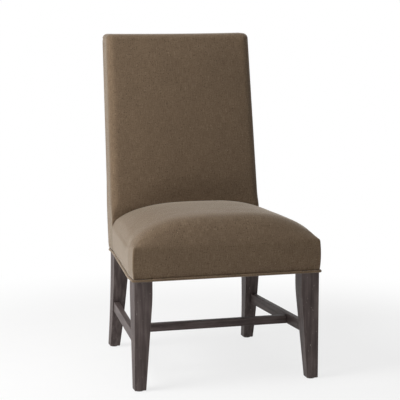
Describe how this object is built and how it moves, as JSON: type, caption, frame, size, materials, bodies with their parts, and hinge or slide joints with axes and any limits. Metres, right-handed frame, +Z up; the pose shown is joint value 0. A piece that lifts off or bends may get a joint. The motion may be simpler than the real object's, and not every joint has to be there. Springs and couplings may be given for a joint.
{
  "type": "upholstered dining chair",
  "caption": "Parsons dining chair with a crowned upholstered seat, a leaning upholstered back, tapered front legs, swept rear legs and an H stretcher.",
  "frame": {"origin": "on the floor under the middle of the chair's overall box", "axes": "+X to the right of a viewer who stands in front of the chair and looks at it, +Y from front to back, +Z up"},
  "size_m": [0.5806, 0.6624, 1.016],
  "materials": {
    "stained_wood": "dark charcoal-brown stain under satin lacquer",
    "frame_wood": "planed, unfinished",
    "zinc_steel": "zinc plated",
    "glide_plastic": "matte",
    "webbing": "woven jute",
    "deck_cloth": "plain weave",
    "black_cambric": "thin non-woven",
    "upholstery_fabric": "heathered plain weave with a soft sheen",
    "foam": "open-cell foam",
    "liner_board": "pressed board",
    "batting": "loose polyester fibre",
    "tack_board": "pressed board strip"
  },
  "bodies": {
    "root": {"back_cover": "upholstery_fabric", "back_foam": "foam", "back_liner": "liner_board", "back_webbing": "webbing", "corner_block_front_left": "frame_wood", "corner_block_front_right": "frame_wood", "corner_block_rear_left": "frame_wood", "corner_block_rear_right": "frame_wood", "corner_block_screws": "zinc_steel", "crest_rail": "frame_wood", "cross_stretcher": "stained_wood", "dust_cover": "black_cambric", "front_leg_left": "stained_wood", "front_leg_right": "stained_wood", "front_seat_rail": "frame_wood", "leg_glides": "glide_plastic", "lower_back_rail": "frame_wood", "outside_back_batting": "batting", "outside_back_cover": "upholstery_fabric", "outside_back_tack_strip": "tack_board", "rear_post_left": "stained_wood", "rear_post_right": "stained_wood", "rear_seat_rail": "frame_wood", "seat_cover": "upholstery_fabric", "seat_deck_cloth": "deck_cloth", "seat_foam": "foam", "seat_webbing_crosswise": "webbing", "seat_webbing_lengthwise": "webbing", "seat_welt": "upholstery_fabric", "side_seat_rail_left": "frame_wood", "side_seat_rail_right": "frame_wood", "side_stretcher_left": "stained_wood", "side_stretcher_right": "stained_wood"}
  },
  "joints": []
}
